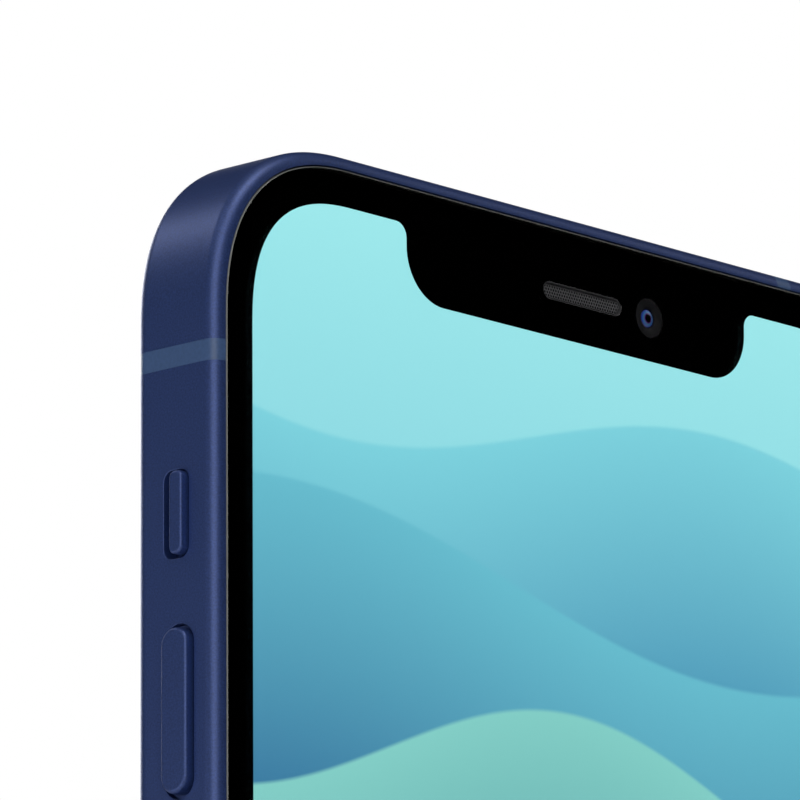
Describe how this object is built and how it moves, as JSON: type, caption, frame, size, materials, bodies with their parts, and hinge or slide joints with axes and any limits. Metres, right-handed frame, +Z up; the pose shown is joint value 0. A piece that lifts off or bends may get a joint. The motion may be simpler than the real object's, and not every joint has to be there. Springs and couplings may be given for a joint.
{
  "type": "smartphone",
  "caption": "Flat-sided dark blue smartphone with a notched touchscreen, rear camera plateau, pressing side buttons, a sliding ring switch and a pull-out SIM tray.",
  "frame": {"origin": "on the surface that the phone stands on, under the middle of its overall box, which takes in the buttons and the rear lens rings", "axes": "+Z up along the phone's long side, +Y towards its back and rear cameras, +X to the right seen from the screen side"},
  "size_m": [0.0728, 0.0088, 0.1467],
  "materials": {
    "band_blue": "bead-blasted and anodised dark blue",
    "insert_blue": "moulded, satin, slightly lighter than the metal",
    "clear_glass": "polished, clear",
    "rear_blue": "polished, dark blue behind",
    "border_black": "opaque black ink under the glass",
    "display": "lit picture of soft blue and teal discs",
    "gasket_grey": "matt grey line round the glass",
    "dark_mesh": "fine dark mesh",
    "steel": "plain pressed steel",
    "aluminium": "machined",
    "copper": "wound copper",
    "board_green": "solder mask",
    "black_plastic": "moulded",
    "battery_wrap": "foil pouch, black",
    "lens_glass": "coated, dark",
    "flash_white": "diffusing, clear cover",
    "signal_orange": "painted",
    "card_white": "plain card"
  },
  "bodies": {
    "phone_body": {"antenna_insert_bottom": "insert_blue", "antenna_insert_left_bottom": "insert_blue", "antenna_insert_left_top": "insert_blue", "antenna_insert_right_bottom": "insert_blue", "antenna_insert_right_top": "insert_blue", "antenna_insert_top": "insert_blue", "band_bottom_left": "band_blue", "band_bottom_right": "band_blue", "band_left": "band_blue", "band_right": "band_blue", "band_top_left": "band_blue", "band_top_right": "band_blue", "battery": "battery_wrap", "bottom_screw_left": "band_blue", "bottom_screw_right": "band_blue", "camera_plateau": "rear_blue", "charging_coil": "copper", "charging_port": "steel", "charging_port_tongue": "black_plastic", "display_backplate": "steel", "display_mask": "border_black", "earpiece_mesh": "dark_mesh", "earpiece_speaker": "black_plastic", "flash_window": "flash_white", "front_camera": "black_plastic", "front_camera_lens": "lens_glass", "front_gasket": "gasket_grey", "front_glass": "clear_glass", "logic_board": "board_green", "loudspeaker": "black_plastic", "microphone_mesh": "dark_mesh", "mid_plate": "aluminium", "oled_panel": "display", "processor_shield": "steel", "radio_shield": "steel", "rear_glass": "rear_blue", "rear_microphone": "dark_mesh", "ring_switch_module": "black_plastic", "side_switch": "black_plastic", "sim_reader": "steel", "speaker_mesh": "dark_mesh", "ultrawide_camera": "black_plastic", "ultrawide_lens_cover": "lens_glass", "ultrawide_lens_ring": "band_blue", "vibration_motor": "steel", "volume_switches": "black_plastic", "wide_camera": "black_plastic", "wide_lens_cover": "lens_glass", "wide_lens_ring": "band_blue"},
    "ring_switch": {"ring_switch": "band_blue", "silent_marker": "signal_orange"},
    "volume_up_button": {"volume_up_button": "band_blue"},
    "volume_down_button": {"volume_down_button": "band_blue"},
    "side_button": {"side_button": "band_blue"},
    "sim_tray": {"sim_tray": "band_blue", "sim_card": "card_white"},
    "sim_ejector_plunger": {"sim_ejector_plunger": "steel"},
    "sim_ejector_lever": {"sim_ejector_lever": "steel"},
    "wide_lens_barrel": {"wide_lens_barrel": "black_plastic"},
    "vibration_mass": {"vibration_mass": "steel"}
  },
  "joints": [
    {"name": "ring_switch_slide", "type": "slide", "parent": "phone_body", "child": "ring_switch", "axis": [0, 1, 0], "range_m": [0, 0.00087]},
    {"name": "volume_up_press", "type": "slide", "parent": "phone_body", "child": "volume_up_button", "axis": [1, 0, 0], "range_m": [0, 0.00025], "stiffness_N_per_m": 4000},
    {"name": "volume_down_press", "type": "slide", "parent": "phone_body", "child": "volume_down_button", "axis": [1, 0, 0], "range_m": [0, 0.00025], "stiffness_N_per_m": 4000},
    {"name": "side_button_press", "type": "slide", "parent": "phone_body", "child": "side_button", "axis": [-1, 0, 0], "range_m": [0, 0.00025], "stiffness_N_per_m": 4000},
    {"name": "sim_tray_slide", "type": "slide", "parent": "phone_body", "child": "sim_tray", "axis": [-1, 0, 0], "range_m": [0, 0.016]},
    {"name": "sim_ejector_press", "type": "slide", "parent": "phone_body", "child": "sim_ejector_plunger", "axis": [1, 0, 0], "range_m": [0, 0.0012]},
    {"name": "sim_ejector_pivot", "type": "hinge", "parent": "phone_body", "child": "sim_ejector_lever", "pos_m": [-0.01985, -0.00075, 0.06565], "axis": [0, 1, 0], "range_deg": [0, 23]},
    {"name": "wide_camera_focus", "type": "slide", "parent": "phone_body", "child": "wide_lens_barrel", "axis": [0, 1, 0], "range_m": [0, 0.00025], "stiffness_N_per_m": 500},
    {"name": "vibration_shake", "type": "slide", "parent": "phone_body", "child": "vibration_mass", "axis": [1, 0, 0], "range_m": [-0.0006, 0.0006], "stiffness_N_per_m": 2200}
  ],
  "couplings": [
    {"joint": "sim_ejector_pivot", "follows": "sim_ejector_press", "rad_per_m": 333.33}
  ]
}
